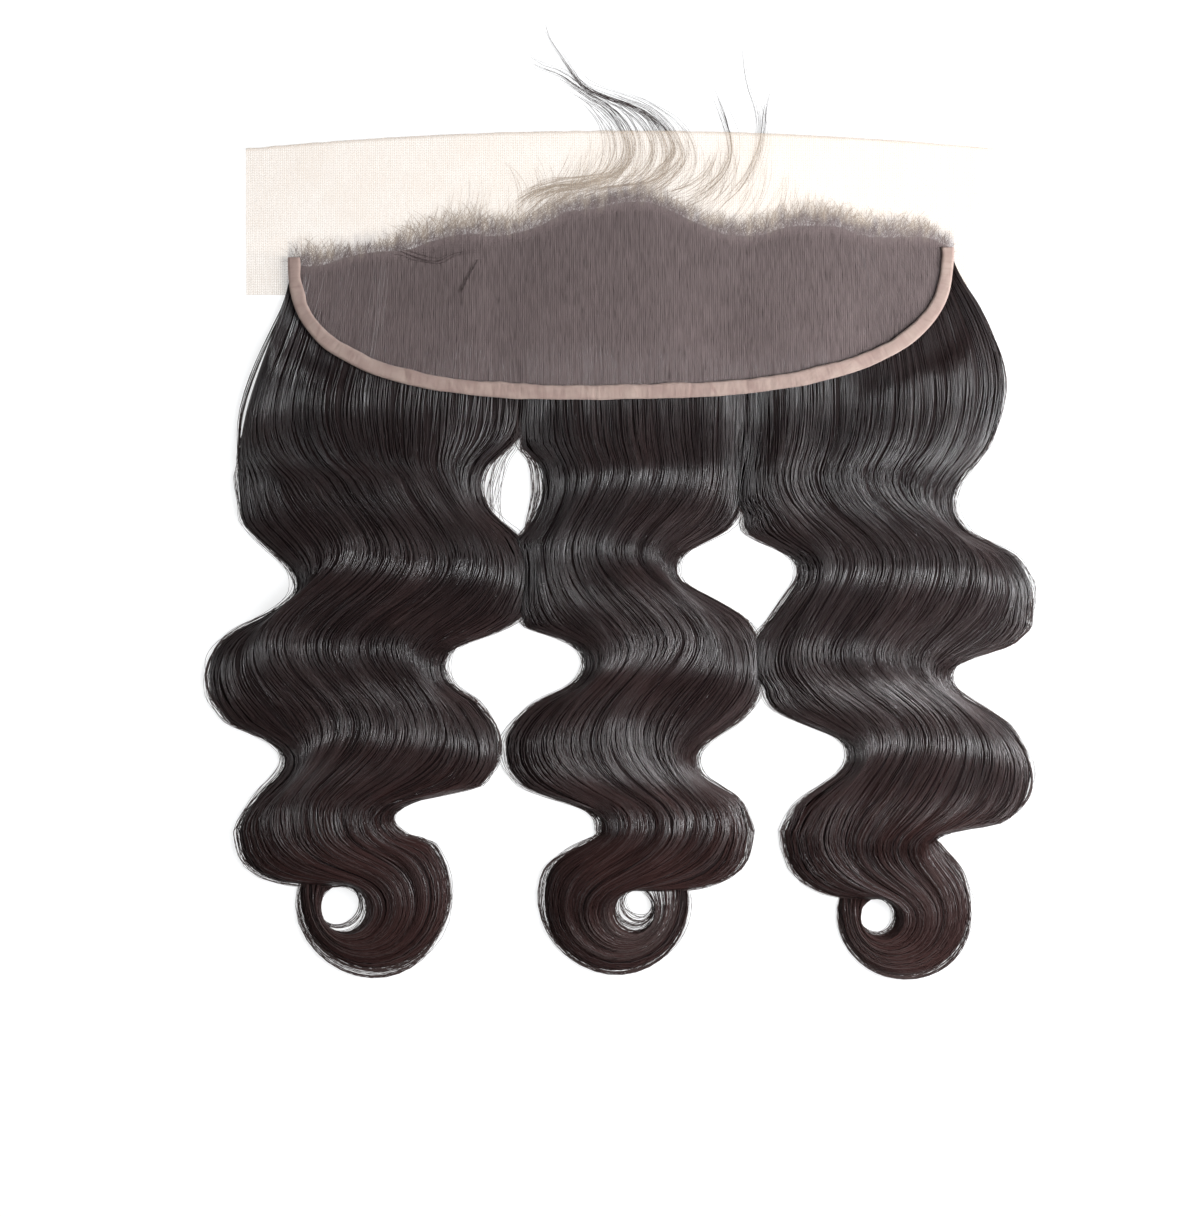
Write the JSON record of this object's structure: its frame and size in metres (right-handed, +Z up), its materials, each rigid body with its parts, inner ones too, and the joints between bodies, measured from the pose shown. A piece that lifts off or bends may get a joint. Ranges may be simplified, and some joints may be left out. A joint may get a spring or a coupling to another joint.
{
  "type": "lace frontal hairpiece",
  "caption": "Flat lace frontal hairpiece: a D-shaped lace base hemmed with binding tape, with body wave hair in locks that end in ring curls.",
  "frame": {"origin": "bottom centre of the bounding box, on the surface that the hair rests on", "axes": "+X along the hairline, to the right seen from above; +Y towards the lace's cut front edge; +Z up, out of the scalp side of the lace"},
  "size_m": [0.4108, 0.4742, 0.015],
  "materials": {
    "lace": "sheer cream Swiss lace",
    "binding": "matte pinkish beige tape",
    "hair": "glossy natural black hair",
    "baby_hair": "fine natural black hair"
  },
  "bodies": {
    "root": {"lace_base": "lace", "edge_binding": "binding", "lock_left": "hair", "lock_middle": "hair", "lock_right": "hair", "baby_hair_left": "baby_hair", "baby_hair_middle": "baby_hair", "baby_hair_right": "baby_hair", "baby_hair_far_right": "baby_hair"}
  },
  "joints": []
}
